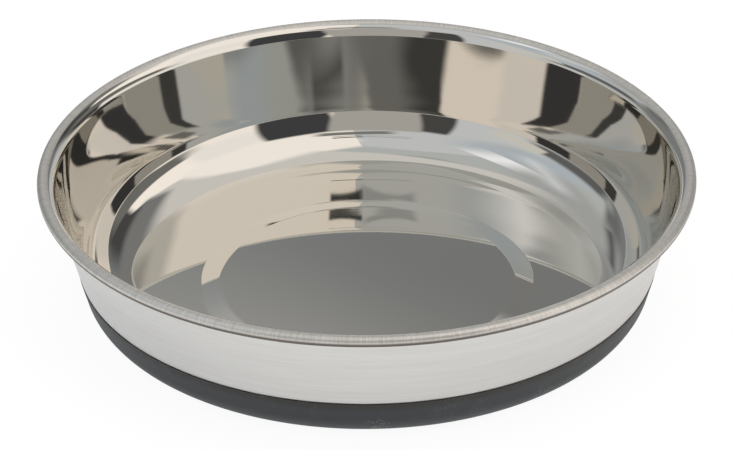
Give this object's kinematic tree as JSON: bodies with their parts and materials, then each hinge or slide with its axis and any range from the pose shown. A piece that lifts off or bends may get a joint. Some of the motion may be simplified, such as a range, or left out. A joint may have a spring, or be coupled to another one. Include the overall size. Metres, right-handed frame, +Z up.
{
  "type": "cat dish",
  "caption": "Shallow round stainless steel cat dish with leaning wall, rounded rolled rim and raised floor panel, standing on a bonded rubber base ring.",
  "frame": {"origin": "centre of the rubber ring's sole, on the surface that the dish stands on", "axes": "+Z up along the dish's axis; X and Y level and alike, since the dish is round"},
  "size_m": [0.165, 0.165, 0.035],
  "materials": {
    "stainless_steel": "polished inside, satin on the lip and the outside",
    "base_rubber": "matt moulded rubber"
  },
  "bodies": {
    "root": {"steel_bowl": "stainless_steel", "rubber_base_ring": "base_rubber"}
  },
  "joints": []
}
